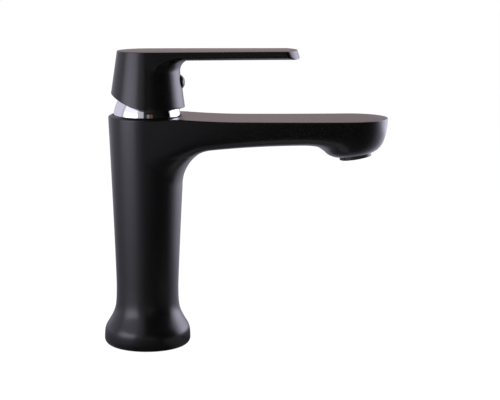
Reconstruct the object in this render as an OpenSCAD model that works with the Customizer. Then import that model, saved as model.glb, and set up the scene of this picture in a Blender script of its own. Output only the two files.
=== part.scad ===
// Single-lever basin mixer: waisted column, wide flat spout, lever handle,
// 35 mm ceramic disc cartridge and a tilted aerator.
// Origin: centre of the foot's underside. +X runs along the spout, +Z up. Millimetres.

/* [Column] */
// Height of the flat top above the basin
body_h = 133.4; // [128:0.2:150]
// Widest diameter of the foot
foot_d = 50.2; // [47:0.2:56]
// Radius of the foot's rounded lower edge
foot_round = 2.6; // [1:0.2:3.4]
// Height at which the foot's flare is halfway in
flare_z = 15.3; // [13:0.1:18]
// Length over which the flare fades
flare_len = 3.2; // [2.4:0.1:4]
// Diameter of the waist
waist_d = 36; // [35:0.2:39]
// Height of the waist
waist_z = 34; // [30:1:42]
// Diameter of the column at its top
top_d = 44; // [43.4:0.2:48]
// How late the column widens above the waist, 1 is a straight cone
widen_pow = 1.15; // [1:0.05:1.5]

/* [Spout] */
// Distance from the column's axis to the centre of the round end
reach = 116; // [100:1:140]
// Diameter of the round end
end_d = 45.4; // [43:0.2:48]
// How far the long sides draw in at mid-length
side_draw = 0.5; // [0:0.1:1.5]
// Thickness of the spout at its end
tip_t = 13.2; // [12:0.2:16]
// Extra thickness that the underside gains at the column's axis
root_drop = 8; // [4:0.2:10]
// Distance from the axis where the underside stops rising
drop_run = 100; // [85:1:110]
// Rounding of the spout's lower edges
edge_round = 4; // [2:0.5:5]
// Size of the fillet between the column and the underside
root_fillet = 18.5; // [14:0.5:22]
// Radius of the rounded top rim
rim_round = 0.7; // [0.3:0.1:1]

/* [Spout end] */
// Tilt of the water jet towards the user, in degrees
jet_tilt = 10; // [0:1:14]
// Depth of the bowl under the flat top, along the jet
bowl_depth = 21.4; // [20:0.2:24]
// Exponent of the bowl's wall
bowl_pow = 0.2; // [0.18:0.002:0.22]
// How far the aerator stands out of the bowl
aerator_proud = 1.6; // [0.8:0.1:3]
// Outer diameter of the aerator's thread and ring
aerator_d = 18.5; // [17:0.5:20]
// Height of the aerator's ring, thread and all
aerator_h = 7; // [6.4:0.2:8]
// Wall of the aerator's ring
aerator_wall = 1.3; // [1:0.1:1.8]

/* [Handle] */
// Height of the handle's flat top over the body's top, at the axis
handle_h = 37.8; // [34:0.2:44]
// Gap between the handle's lower edge and the body's top
handle_gap = 5.7; // [5:0.1:8]
// Rise of the lower edge at the back, which clears the body when the lever is up
back_rise = 7.7; // [7:0.1:10]
// Diameter of the cap at its top
cap_d = 33.8; // [33:0.2:36]
// Taper of the cap's wall, radius gained per millimetre down
cap_taper = 0.143; // [0.135:0.001:0.18]
// Wall of the cap
cap_wall = 2.6; // [2.2:0.1:3]
// Distance from the axis to the tip of the lever's top
lever_reach = 85.6; // [70:1:100]
// Half-width of the lever near its tip
lever_half = 15; // [13:0.2:16]
// Thickness of the lever
lever_t = 4.6; // [4:0.1:7]
// Slope of the lever's top
lever_slope = 0.013; // [0:0.001:0.03]
// How far the end face leans out
end_lean = 1.6; // [0:0.1:2.4]
// Size of the fillet between the cap's front and the lever
lever_fillet = 8; // [5:0.5:10]
// Diameter of the plug over the set screw
plug_d = 8.1; // [7:0.1:9]
// Height of the plug's dome
plug_dome = 2.1; // [1.4:0.1:2.4]
// Height of the plug's centre above the cap's front lower edge
plug_up = 14.5; // [13.5:0.1:15.5]
// Thread diameter of the set screw
screw_d = 5; // [4:1:5]
// Length of the set screw
screw_l = 8; // [6:1:8]

/* [Dome ring] */
// Radius of the dome, centred on the lever's pivot
dome_r = 19.1; // [18.9:0.1:19.3]
// Wall of the dome
dome_wall = 1.5; // [1:0.1:1.6]
// Radius of the opening in the dome's top
dome_open = 14.3; // [14.1:0.1:14.8]
// Depth of the recess that the dome stands in
recess_h = 5; // [4:0.2:6]

/* [Cartridge] */
// Outer diameter of the cartridge
cartridge_d = 34.8; // [34.4:0.1:35]
// Depth of the lever's pivot under the body's top
pivot_drop = 0.4; // [0:0.1:1]
// Length of the stem's lower arm, pivot to ball
arm_l = 10.5; // [10:0.1:11]
// Travel of the lever from shut to full flow, in degrees
lift_angle = 25; // [20:1:25]
// Diameter of the ball on the lower arm
ball_d = 5.2; // [4.6:0.1:5.6]
// Half of the square stem across the lever
stem_half_y = 3.6; // [3.2:0.1:3.8]
// Half of the square stem along the lever
stem_half_x = 4.2; // [3.8:0.1:4.4]
// Length of the stem above the pivot
stem_up = 26; // [24:0.5:27]
// Diameter of the pivot pin
pin_d = 3; // [2.5:0.1:3.2]
// Diameter of the rotor's neck, which turns in the housing
rotor_d = 22.4; // [22:0.1:23]
// Thickness of the moving disc
moving_t = 3.3; // [3:0.1:4]
// Diameter of the moving disc
moving_d = 24.6; // [24:0.2:25]
// Depth of the pocket under the moving disc
pocket_t = 1.6; // [1.2:0.1:1.8]
// Width of that pocket over the hot and cold ports
pocket_w = 17; // [16.6:0.1:17.2]
// Width of that pocket over the outlet
pocket_out_w = 10; // [9:0.2:11]
// Length of the disc carrier's plate, along the lever
carrier_l = 17; // [16.6:0.1:17.2]
// Width of the disc carrier's plate
carrier_w = 16; // [15:0.2:16.4]
// Length of the carrier's block, along the lever
block_l = 9; // [8.8:0.1:9.2]
// Width of the carrier's block
block_w = 9.2; // [8.8:0.1:9.4]
// Height of the carrier's block over its plate
block_up = 3.4; // [3.2:0.1:3.6]
// Thickness of the fixed disc
fixed_t = 3.8; // [3.4:0.1:4.4]
// Diameter of the fixed disc
fixed_d = 28.4; // [28:0.2:29]
// Thickness of the gasket under the fixed disc
gasket_t = 1; // [0.8:0.1:1.4]
// Height of the cartridge's floor over the bottom of the chamber
floor_t = 5.4; // [4.8:0.1:6]
// Half-distance between the hot and cold ports
port_y = 7.3; // [6.9:0.1:7.6]
// Distance of the hot and cold ports in front of the axis
port_x = 3.5; // [3:0.1:4]
// Diameter of the hot and cold ports
port_d = 6; // [5:0.2:6.4]

/* [Inlets] */
// Depth of the hollow in the foot and column
hollow_h = 58; // [40:1:70]
// Diameter of the hollow
hollow_d = 29.6; // [28.6:0.2:30]
// Bore of the hose threads, M10 x 1
hose_d = 10; // [8:1:10]
// Depth of the hose threads
hose_l = 12; // [10:1:16]
// Bore of the stud thread, M8
stud_d = 8; // [6:1:8]
// Depth of the stud thread
stud_l = 14; // [10:1:18]
// Distance of the stud behind the axis
stud_x = 8.6; // [8.2:0.1:9]
// Width of the rubber ring under the foot
ring_w = 3; // [2:0.2:3.4]
// Thickness of the rubber ring under the foot
ring_t = 2.4; // [1.6:0.1:3]

/* [Fits] */
// Radial play of a part that turns or slides against another
turn_gap = 0.3; // [0.3:0.05:0.4]
// Radial play of a running fit
fit_gap = 0.06; // [0.03:0.01:0.08]
// Film between the two ceramic discs
film = 0.02; // [0.01:0.01:0.05]

/* [Hidden] */
$fn = 64;
eps = 0.01;

waist_r = waist_d / 2;
top_r = top_d / 2;
foot_r = foot_d / 2;
end_r = end_d / 2;
merge = 0.05;                                   // the spout's slab stays this far inside its bowl
seam = 0.06;                                    // the head stands this far out of the column
foot_grow = (foot_r - waist_r) * (1 + exp((foot_round - flare_z) / flare_len));
head_z = body_h - tip_t - root_drop - root_fillet - 3;

// Heights of the cartridge's stack, from the pivot down to the chamber's floor
pivot_z = body_h - pivot_drop;
ball_z = pivot_z - arm_l;
ball_r = ball_d / 2;
carrier_z = ball_z - ball_r - 1.4;
moving_z = carrier_z - moving_t;
fixed_z = moving_z - film - fixed_t;
gasket_z = fixed_z - gasket_t;
chamber_z = gasket_z - floor_t;
disc_travel = arm_l * sin(lift_angle);

cart_r = cartridge_d / 2;
chamber_r = cart_r + 0.15;
fixed_r = fixed_d / 2;
moving_r = moving_d / 2;
rotor_r = rotor_d / 2;
port_r = port_d / 2;
outlet_x = 6;                                   // the outlet port, behind the axis
outlet_r = 3.2;
inner_r = cart_r - 1.8;                         // the housing's hollow
flange_r = inner_r - turn_gap;
flange_z = carrier_z + turn_gap;
flange_t = 2.6;
plate_h = flange_t;                             // the disc carrier's plate
carrier_half = [carrier_l, carrier_w] / 2;
block_half = [block_l, block_w] / 2;
hollow_top = flange_z + flange_t + turn_gap;
shoulder_z = hollow_top + 1.7;
neck_r = rotor_r + fit_gap + 2.9;
neck_top = pivot_z + 3;
rotor_top = neck_top + 1.4;
rim_z = fixed_z + 2;                            // top of the cartridge base's rim
plate_t = 1.5;                                  // the cartridge base's floor plate

recess_r = dome_r + 0.4;
recess_z = body_h - recess_h;
dome_in = dome_r - dome_wall;
thread_r = recess_r - 0.9;                      // the nut's thread
nut_top = pivot_z - 1.5;

// The handle's own heights
top_z = body_h + handle_h;
cap_z = body_h + handle_gap;
cap_r0 = cap_d / 2;
level_t = 3;                                    // the lever is widest this far under its top
cavity_top = top_z - 8;
plug_z = cap_z + plug_up;
wall_lean = atan(cap_taper);

// The spout's waterway and the aerator's seat
duct_w = 35;
duct_h = 8;
duct_z = body_h - 3 - duct_h;
duct_end = reach + 1;                           // centre of the waterway's round end
duct_end_r = end_r - 4.4;
washer_t = 1.5;
aerator_r = aerator_d / 2;
bore_r = 2.3;
bore_y = 4;
seat_z = -bowl_depth - aerator_proud;           // the ring's lower face, along the jet
ring_in = foot_r - foot_round - 1.9 - ring_w;

function lerp(a, b, t) = a + (b - a) * t;
function clamp(t) = min(1, max(0, t));
function ease(t) = let (c = clamp(t)) c * c * (3 - 2 * c);
function unit(v) = v / norm(v);
function smooth_max(a, b, k) = let (h = max(k - abs(a - b), 0) / k) max(a, b) + h * h * k / 4;
function bezier(a, b, c, d, t) =
    a * pow(1 - t, 3) + b * 3 * t * pow(1 - t, 2) + c * 3 * t * t * (1 - t) + d * pow(t, 3);

// Outward normals of a closed outline that runs anticlockwise
function outward(pts) = let (n = len(pts)) [
    for (i = [0:n - 1])
        let (d = unit(pts[(i + 1) % n] - pts[(i + n - 1) % n])) [d.y, -d.x]
];

// Radius of the column at a height: a waist that widens upwards, and a flared foot
function column_r(z) =
    waist_r
    + (top_r - waist_r) * pow(max(0, z - waist_z) / (body_h - waist_z), widen_pow)
    + foot_grow / (1 + exp((z - flare_z) / flare_len));

// Half-width of the spout's top
function spout_w(x) =
    let (t = clamp(x / reach)) lerp(top_r, end_r - merge, ease(t)) - side_draw * pow(sin(180 * t), 2);

// Height of the spout's flat underside
function underside(x) = body_h - tip_t - root_drop * pow(1 - clamp(x / drop_run), 2);

// How far out a plan point lies: 0 on the spout's centre line, 1 on its outline
function spout_m(p) =
    p.x > reach ? norm([(p.x - reach) / (end_r - 1.2), p.y / (end_r - merge)])
    : p.x < 0 ? norm(p) / top_r
    : abs(p.y) / spout_w(p.x);

// Height at which the spout's leaning side stands over a plan point
function spout_side(p) =
    let (lean = lerp(0.01, 1 / bowl_depth, ease(p.x / reach)))
    body_h - rim_round - (1 - pow(spout_m(p), 1 / bowl_pow)) / lean;

// Half-width of the lever where it is widest
function lever_w(x) = lerp(cap_r(top_z - level_t), lever_half, ease(x / (lever_reach - 5)));

// Radius of the handle's cap at a height
function cap_r(z) = cap_r0 + cap_taper * (top_z - z);

function lever_top(x) = top_z + lever_slope * x;

// Rise of the lever's lower edge over its flat underside
function lever_edge(p) =
    let (side = p.x < 0 ? norm(p) / cap_r(top_z - level_t) : abs(p.y) / lever_w(p.x),
        tip = (p.x - lever_reach + 8) / (8 + end_lean))
    (lever_t - level_t) * pow(clamp(max(side, tip)), 12);

// Height of a fillet's surface over a plan point, between a round wall and a lower surface
function fillet_z(q, z, radius, wall) =
    let (d = clamp((norm(q) - wall(z - radius / 2)) / radius))
    z - radius + radius * sqrt(1 - (1 - d) * (1 - d));

// One meridian of a head: up a round wall, round the fillet, along the arm's underside
// and up to its outline. p and n are the outline's point and normal. flat gives the
// underside's height, and low turns a height there into that of the lower surface.
function meridian(p, n, foot_z, top, radius, inset, wall, flat, low) =
    let (u = unit(p),
        zs = flat(u * wall(top)) - radius,
        rs = wall(zs),
        over = max(norm(p) - rs, 0.01),
        blend = ease(over / 1.5),
        more = max(0, norm(p) - wall(top)),
        s = p - n * min(inset, 0.4 * over / max(0.2, u * n)),
        reach_s = max(0, norm(s) - rs),
        reach_f = min(radius, 0.8 * reach_s),
        turn = acos(1 - reach_f / radius),
        z_of = function (q) low(q, fillet_z(q, flat(q), radius, wall)),
        plan = concat(
            [for (j = [1:6]) u * (rs + radius * (1 - cos(turn * j / 6)))],
            [for (j = [1:2]) lerp(u * (rs + reach_f), s, j / 2)],
            [for (t = [0.35, 0.6, 0.8, 0.92, 1]) lerp(s, p, t)]),
        front = concat(
            [[each u * wall(foot_z), foot_z], [each u * rs, zs]],
            [for (q = plan) [each q, max(zs, z_of(q))]]),
        last = len(front) - 1)
    [for (j = [0:last])
        let (z = lerp(foot_z, top, j / last),
            back = [each u * (wall(z) + more * ease((z - zs) / (top - zs))), z])
        lerp(back, front[j], blend)];

// Quad faces between rings of equal length, with a flat cap at each end
module loft(rings) {
    n = len(rings[0]);
    last = len(rings) - 1;
    sides = [
        for (k = [0:last - 1], i = [0:n - 1])
            let (j = (i + 1) % n)
            each [
                [k * n + i, (k + 1) * n + j, k * n + j],
                [k * n + i, (k + 1) * n + i, (k + 1) * n + j]
            ]
    ];
    foot = [for (i = [0:n - 1]) i];
    lid = [for (i = [n - 1:-1:0]) last * n + i];
    polyhedron([for (ring = rings) each ring], concat(sides, [foot], [lid]), convexity = 6);
}

// Turns a list of meridians into a list of rings
function transpose(m) = [for (k = [0:len(m[0]) - 1]) [for (line = m) line[k]]];

// ---------------------------------------------------------------- body

body_outline = concat(
    [for (a = [90:7.5:270]) top_r * [cos(a), sin(a)]],
    [for (i = [1:15]) let (x = reach * pow(i / 15, 1.3)) [x, -spout_w(x)]],
    [for (a = [-80:10:80]) [reach + (end_r - 1.2) * cos(a), (end_r - merge) * sin(a)]],
    [for (i = [15:-1:1]) let (x = reach * pow(i / 15, 1.3)) [x, spout_w(x)]]
);

module head() {
    normals = outward(body_outline);
    count = len(body_outline);
    lines = [
        for (i = [0:count - 1])
            let (p = body_outline[i], n = normals[i])
            concat(
                meridian(p, n, head_z, body_h - rim_round, root_fillet, 0.3 * end_r,
                    function (z) column_r(z) + seam, function (q) underside(q.x),
                    function (q, z) smooth_max(z, spout_side(q), edge_round)),
                [for (a = [45, 90])
                    [each (p - n * rim_round * (1 - cos(a))), body_h - rim_round * (1 - sin(a))]])
    ];
    loft(transpose(lines));
}

module column() {
    arc = [for (a = [0:22.5:90])
        [foot_r - foot_round * (1 - sin(a)), foot_round * (1 - cos(a))]];
    flare = [for (z = [foot_round + 2.6:2.6:waist_z]) [column_r(z), z]];
    // the column ends a little inside the head
    full = head_z + 0.5;
    top = full + 2;
    upper = [for (i = [1:5]) let (z = lerp(waist_z, full, i / 5)) [column_r(z), z]];
    rotate_extrude()
        polygon(concat([[0, 0]], arc, flare, upper, [[column_r(full) - 1, top], [0, top]]));
}

// Moves its children to the water jet's frame: origin on the flat top, Z up along the jet
module jet() {
    translate([reach, 0, body_h]) rotate([0, -jet_tilt, 0]) children();
}

module bowl() {
    wall = [for (i = [0:10])
        let (r = end_r * pow(i / 10, 0.7)) [r, bowl_depth * (pow(r / end_r, 1 / bowl_pow) - 1)]];
    difference() {
        jet() rotate_extrude() polygon(concat(wall, [[0, 0]]));
        translate([0, -end_d, body_h]) cube([2 * reach, 2 * end_d, end_d]);
    }
}

// The waterway: two slanting bores from the chamber's front, below its seal, up to a
// flat duct that runs inside the spout to the aerator
module waterway() {
    half = (duct_w - duct_h) / 2;
    start = thread_r + 3;
    for (side = [-1, 1]) {
        translate([start, side * half, duct_z + duct_h / 2])
            rotate([0, 90, 0]) cylinder(d = duct_h, h = duct_end - start);
        translate([chamber_r - 2, side * bore_y, gasket_z - bore_r * sqrt(2) - 2])
            rotate([0, 45, 0]) cylinder(r = bore_r, h = (duct_z + 4 - chamber_z) * sqrt(2));
    }
    translate([start, -half, duct_z]) cube([duct_end - start, 2 * half, duct_h]);
    translate([duct_end, 0, duct_z]) cylinder(r = duct_end_r, h = duct_h);
}

module body() {
    color("#1b1b1d")
    difference() {
        union() {
            column();
            head();
            bowl();
        }
        // chamber, thread and recess
        translate([0, 0, chamber_z]) cylinder(r = chamber_r, h = body_h);
        translate([0, 0, shoulder_z - 1]) cylinder(r = thread_r, h = body_h);
        translate([0, 0, recess_z]) cylinder(r = recess_r, h = body_h);
        waterway();
        jet() translate([0, 0, seat_z - 1])
            cylinder(r = aerator_r, h = aerator_h + washer_t + 1);
        jet() translate([0, 0, seat_z]) cylinder(r = aerator_r - 2, h = aerator_h + washer_t + 4);
        // hollow, hose threads, supply bores and the stud's thread
        translate([0, 0, -1]) cylinder(d = hollow_d, h = hollow_h + 1);
        for (side = [-1, 1]) translate([port_x, side * port_y, 0]) {
            cylinder(d = hose_d, h = hollow_h + hose_l);
            cylinder(r = port_r, h = chamber_z + 1);
        }
        translate([-stud_x, 0, 0]) cylinder(d = stud_d, h = hollow_h + stud_l);
        // groove of the rubber ring
        translate([0, 0, -1]) ring(ring_in, ring_in + ring_w, ring_t + 1);
    }
}

module ring(r_in, r_out, h) {
    difference() {
        cylinder(r = r_out, h = h);
        translate([0, 0, -1]) cylinder(r = r_in, h = h + 2);
    }
}

module base_gasket() {
    color("#202020") ring(ring_in, ring_in + ring_w, ring_t);
}

// ---------------------------------------------------------------- aerator

module aerator_housing() {
    notches = 8;
    lip = 1.2;
    color("#141416") jet() translate([0, 0, seat_z])
    difference() {
        cylinder(r = aerator_r, h = aerator_h);
        translate([0, 0, -1]) cylinder(r = aerator_r - aerator_wall - lip, h = aerator_h + 2);
        translate([0, 0, lip]) cylinder(r = aerator_r - aerator_wall, h = aerator_h);
        for (k = [0:notches - 1]) rotate([0, 0, 360 * k / notches])
            translate([aerator_r - aerator_wall / 2, -1, -1]) cube([aerator_wall, 2, 1.6]);
    }
}

// Flow straightener: a disc with a grid of holes in a rim
module aerator_insert() {
    r = aerator_r - aerator_wall;
    lip = 1.2;
    pitch = 2.4;
    color("#d8d8d8") jet() translate([0, 0, seat_z + lip])
    difference() {
        cylinder(r = r, h = aerator_h - lip - 0.8);
        translate([0, 0, 3]) cylinder(r = r - 1, h = aerator_h);
        for (ix = [-2:2], iy = [-2:2])
            if (norm([ix, iy]) * pitch < r - 1.6)
                translate([ix * pitch, iy * pitch, -1]) cylinder(r = 0.85, h = 5, $fn = 16);
    }
}

module aerator_screen() {
    color("#b0b0b4") jet() translate([0, 0, seat_z + aerator_h - 0.8])
        cylinder(r = aerator_r - aerator_wall, h = 0.8);
}

module aerator_washer() {
    color("#202020") jet() translate([0, 0, seat_z + aerator_h])
        ring(aerator_r - 2.4, aerator_r, washer_t);
}

// ---------------------------------------------------------------- cartridge

module ports(h) {
    for (side = [-1, 1]) translate([port_x, side * port_y, -1]) cylinder(r = port_r, h = h + 2);
    translate([-outlet_x, 0, -1]) cylinder(r = outlet_r, h = h + 2);
}

module cartridge_base() {
    plenum_h = floor_t - plate_t;
    window = bore_y + bore_r + 0.5;
    seal_t = 1.5;
    color("#e6e6e2") translate([0, 0, chamber_z])
    difference() {
        union() {
            difference() {
                cylinder(r = cart_r, h = rim_z - chamber_z);
                translate([0, 0, -1]) cylinder(r = cart_r - 1.8, h = plenum_h + 1);
                // the mixed water leaves through the front window
                translate([0, -window, -1]) cube([cart_r + 1, 2 * window, plenum_h + 1]);
            }
            for (side = [-1, 1]) translate([port_x, side * port_y, 0])
                cylinder(r = port_r + 2.4, h = plenum_h + plate_t / 2);
        }
        translate([0, 0, floor_t]) cylinder(r = fixed_r, h = rim_z);
        ports(floor_t);
        for (side = [-1, 1]) translate([port_x, side * port_y, -1])
            cylinder(r = port_r + 1.6, h = seal_t + 1);
        translate([0, 0, floor_t + 0.4]) ring(cart_r - 1.4, cart_r + 1, 1.7);
    }
}

module inlet_seals() {
    color("#202020") for (side = [-1, 1]) translate([port_x, side * port_y, chamber_z])
        ring(port_r, port_r + 1.6, 1.5);
}

module chamber_seal() {
    color("#202020") translate([0, 0, gasket_z + 0.4]) ring(cart_r - 1.4, chamber_r, 1.7);
}

module disc_gasket() {
    color("#303030") translate([0, 0, gasket_z]) difference() {
        cylinder(r = fixed_r, h = gasket_t);
        ports(gasket_t);
    }
}

module fixed_disc() {
    color("#e8e4da") translate([0, 0, fixed_z]) difference() {
        cylinder(r = fixed_r, h = fixed_t);
        ports(fixed_t);
    }
}

module cartridge_housing() {
    color("#f0f0ec") difference() {
        union() {
            translate([0, 0, rim_z]) cylinder(r = cart_r, h = shoulder_z - rim_z);
            translate([0, 0, rim_z]) cylinder(r = neck_r, h = neck_top - rim_z);
        }
        translate([0, 0, rim_z - 1]) cylinder(r = inner_r, h = hollow_top - rim_z + 1);
        translate([0, 0, rim_z]) cylinder(r = rotor_r + fit_gap, h = neck_top);
    }
}

module cartridge_nut() {
    slots = 4;
    color("#c9a64a") difference() {
        union() {
            translate([0, 0, shoulder_z]) cylinder(r = thread_r, h = recess_z - shoulder_z);
            translate([0, 0, shoulder_z]) cylinder(r = dome_in, h = nut_top - shoulder_z);
        }
        translate([0, 0, shoulder_z - 1]) cylinder(r = neck_r + 0.1, h = nut_top);
        for (k = [0:slots - 1]) rotate([0, 0, 90 * k])
            translate([neck_r, -1.5, nut_top - 2]) cube([dome_in, 3, 3]);
    }
}

module dome_cap() {
    start = acos(dome_open / dome_r);
    start_in = acos(dome_open / dome_in);
    outer = [for (i = [0:12]) let (a = start * i / 12)
        [dome_r * cos(a), pivot_z + dome_r * sin(a)]];
    inner = [for (i = [12:-1:0]) let (a = start_in * i / 12)
        [dome_in * cos(a), pivot_z + dome_in * sin(a)]];
    color("#d8dadc") rotate_extrude()
        polygon(concat([[dome_in, recess_z], [dome_r, recess_z]], outer, inner));
}

// The disc's place when the lever is down: half a stroke behind the axis
module at_disc(z) {
    translate([-disc_travel / 2, 0, z]) children();
}

module moving_disc() {
    color("#f2efe6") difference() {
        at_disc(moving_z) cylinder(r = moving_r, h = moving_t);
        translate([-outlet_x - outlet_r - 3, -pocket_out_w / 2, moving_z - 1])
            cube([outlet_x + outlet_r + 2.6, pocket_out_w, pocket_t + 1]);
        translate([-outlet_x - 2, -pocket_w / 2, moving_z - 1])
            cube([outlet_x + 1.6, pocket_w, pocket_t + 1]);
    }
}

module disc_carrier() {
    color("#3a5f8a") difference() {
        union() {
            at_disc(carrier_z) translate([-carrier_half.x, -carrier_half.y, 0])
                cube([carrier_l, carrier_w, plate_h]);
            translate([-block_half.x, -block_half.y, carrier_z])
                cube([block_l, block_w, plate_h + block_up]);
        }
        translate([0, 0, ball_z - ball_r - turn_gap]) cylinder(r = ball_r + turn_gap, h = arm_l);
    }
}

module stem_carrier() {
    play = turn_gap;
    back = stem_half_x / cos(lift_angle) + (rotor_top - pivot_z) * tan(lift_angle) + play;
    lower = pivot_z - carrier_z - plate_h - block_up;
    front = ball_r + lower * tan(lift_angle) + play;
    color("#c8c8c0") difference() {
        union() {
            translate([0, 0, flange_z]) cylinder(r = flange_r, h = flange_t);
            translate([0, 0, flange_z]) cylinder(r = rotor_r, h = rotor_top - flange_z);
        }
        // the slot that guides the carrier's plate, and the one for its block
        translate([-carrier_half.x - disc_travel / 2 - play, -carrier_half.y - play, flange_z - 1])
            cube([carrier_l + 2 * play + disc_travel, carrier_w + 2 * play, plate_h + 1]);
        translate([-block_half.x - play, -block_half.y - play, flange_z])
            cube([block_l + 2 * play + disc_travel, block_w + 2 * play, plate_h + block_up + play]);
        // the stem's slot
        translate([-back, -stem_half_y - play, flange_z])
            cube([back + max(front, stem_half_x + play), 2 * (stem_half_y + play), rotor_top]);
        translate([0, 0, pivot_z]) rotate([90, 0, 0])
            cylinder(d = pin_d, h = 2 * rotor_r + 2, center = true);
    }
}

module pivot_pin() {
    color("#b8babc") translate([0, 0, pivot_z]) rotate([90, 0, 0])
        cylinder(d = pin_d, h = 2 * rotor_r - 1, center = true);
}

module stem() {
    hub_r = stem_half_x + 0.4;
    arm_r = ball_r - 0.7;
    color("#9a9ca0") difference() {
        union() {
            translate([0, 0, pivot_z]) rotate([90, 0, 0])
                cylinder(r = hub_r, h = 2 * stem_half_y, center = true);
            translate([-stem_half_x, -stem_half_y, pivot_z])
                cube([2 * stem_half_x, 2 * stem_half_y, stem_up]);
            translate([0, 0, ball_z]) cylinder(r = arm_r, h = arm_l);
            translate([0, 0, ball_z]) sphere(r = ball_r);
        }
        translate([0, 0, pivot_z]) rotate([90, 0, 0])
            cylinder(d = pin_d + 2 * fit_gap, h = 4 * stem_half_y, center = true);
    }
}

// ---------------------------------------------------------------- handle

lever_outline = concat(
    [for (a = [90:7.5:270]) cap_r(top_z - level_t) * [cos(a), sin(a)]],
    [for (i = [1:13]) let (x = (lever_reach - 6.5) * pow(i / 13, 1.3)) [x, -lever_w(x)]],
    tip_edge(-1),
    [for (i = [13:-1:1]) let (x = (lever_reach - 6.5) * pow(i / 13, 1.3)) [x, lever_w(x)]]
);

// The end of the lever: a shallow arc between two small corners
function tip_edge(side) =
    let (apex = lever_reach + end_lean, bow = 4.6, half = lever_half - 1,
        r = (half * half + bow * bow) / (2 * bow), wide = asin(half / r))
    [for (a = [-wide:wide / 4:wide + eps]) [apex - r + r * cos(a), r * sin(a)]];

// The handle's lower edge rises at the back
function cap_foot(p) = cap_z + back_rise * pow(clamp(-p.x / cap_r(cap_z)), 1.6);

module handle_shell() {
    normals = outward(lever_outline);
    count = len(lever_outline);
    lines = [
        for (i = [0:count - 1])
            let (p = lever_outline[i], n = normals[i],
                level = lever_top(p.x) - level_t,
                lean = lerp(cap_taper * level_t, 0, ease(p.x / 20))
                    + end_lean * max(0, n.x) * ease((p.x - lever_reach + 8) / 6),
                foot = cap_foot(p),
                inner = unit(p) * (cap_r(foot) - cap_wall - 1))
            concat(
                [[each inner, foot]],
                meridian(p, n, foot, level, lever_fillet, 0.35 * lever_half,
                    function (z) cap_r(z), function (q) lever_top(q.x) - lever_t,
                    function (q, z) z + lever_edge(q)),
                [[each (p - n * lean), lever_top(p.x)]])
    ];
    loft(transpose(lines));
}

// Moves its children to the set screw's axis, at the cap's wall, X pointing outwards
module at_screw() {
    translate([cap_r(plug_z), 0, plug_z]) rotate([0, -wall_lean, 0]) children();
}

module handle() {
    socket_z = pivot_z + dome_r + 0.9;
    socket_top = pivot_z + stem_up;
    reach_in = (cap_r(plug_z) - stem_half_x) / cos(wall_lean);
    low_z = pivot_z + 14.5;
    color("#161618") difference() {
        union() {
            difference() {
                handle_shell();
                translate([0, 0, cap_z - 1])
                    cylinder(r1 = cap_r(cap_z - 1) - cap_wall, r2 = cap_r(cavity_top) - cap_wall,
                        h = cavity_top - cap_z + 1);
            }
            // the stem's socket and the set screw's boss
            translate([0, 0, socket_z]) cylinder(r = 7.6, h = cavity_top - socket_z + 1);
            translate([-stem_half_x - 1.5, -stem_half_y - 1.5, low_z])
                cube([2 * stem_half_x + 4, 2 * stem_half_y + 3, cavity_top - low_z + 1]);
            at_screw() translate([-reach_in, 0, 0]) rotate([0, 90, 0])
                cylinder(r = screw_d / 2 + 1.6, h = reach_in - 1);
        }
        translate([-stem_half_x, -stem_half_y, low_z - 1])
            cube([2 * stem_half_x, 2 * stem_half_y, socket_top - low_z + 1]);
        at_screw() translate([-reach_in - 1, 0, 0]) rotate([0, 90, 0])
            cylinder(d = screw_d, h = reach_in + 4);
        at_screw() translate([-spot_t, 0, 0]) rotate([0, 90, 0]) cylinder(d = plug_d + 0.2, h = 4);
    }
}

spot_t = 0.7;                                   // depth of the plug's spot face

module set_screw() {
    reach_in = (cap_r(plug_z) - stem_half_x) / cos(wall_lean);
    tip = screw_d / 2 * tan(wall_lean) / cos(wall_lean);
    color("#55565a") at_screw() translate([-reach_in + tip, 0, 0]) rotate([0, 90, 0])
    difference() {
        cylinder(d = screw_d, h = screw_l);
        translate([0, 0, screw_l - 2.6]) cylinder(d = screw_d / 2 * 1.15, h = 4, $fn = 6);
    }
}

module screw_plug() {
    dome_big = (pow(plug_d / 2, 2) + pow(plug_dome, 2)) / (2 * plug_dome);
    half = asin(plug_d / 2 / dome_big);
    arc = [for (i = [0:8]) let (a = half * (1 - i / 8))
        [dome_big * sin(a), plug_dome - dome_big * (1 - cos(a))]];
    color("#0a0a0c") at_screw() rotate([0, 90, 0]) rotate_extrude()
        polygon(concat([[0, -4], [screw_d / 2, -4], [screw_d / 2, -spot_t],
            [plug_d / 2, -spot_t]], arc));
}

body();
base_gasket();
aerator_housing();
aerator_insert();
aerator_screen();
aerator_washer();
cartridge_base();
inlet_seals();
chamber_seal();
disc_gasket();
fixed_disc();
cartridge_housing();
cartridge_nut();
dome_cap();
moving_disc();
disc_carrier();
stem_carrier();
pivot_pin();
stem();
handle();
set_screw();
screw_plug();
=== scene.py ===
"""Looks of a single-lever basin mixer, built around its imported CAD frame.

Every length in the dataclasses is in millimetres, in the frame of the CAD: the
origin is the centre of the foot's underside, +X runs along the spout, +Z is up.
"""

import logging
import math
from dataclasses import dataclass
from enum import Enum
from typing import Callable, Dict, List, Sequence, Tuple, Union

import bmesh
import bpy
import numpy as np
from mathutils import Matrix, Vector


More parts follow.
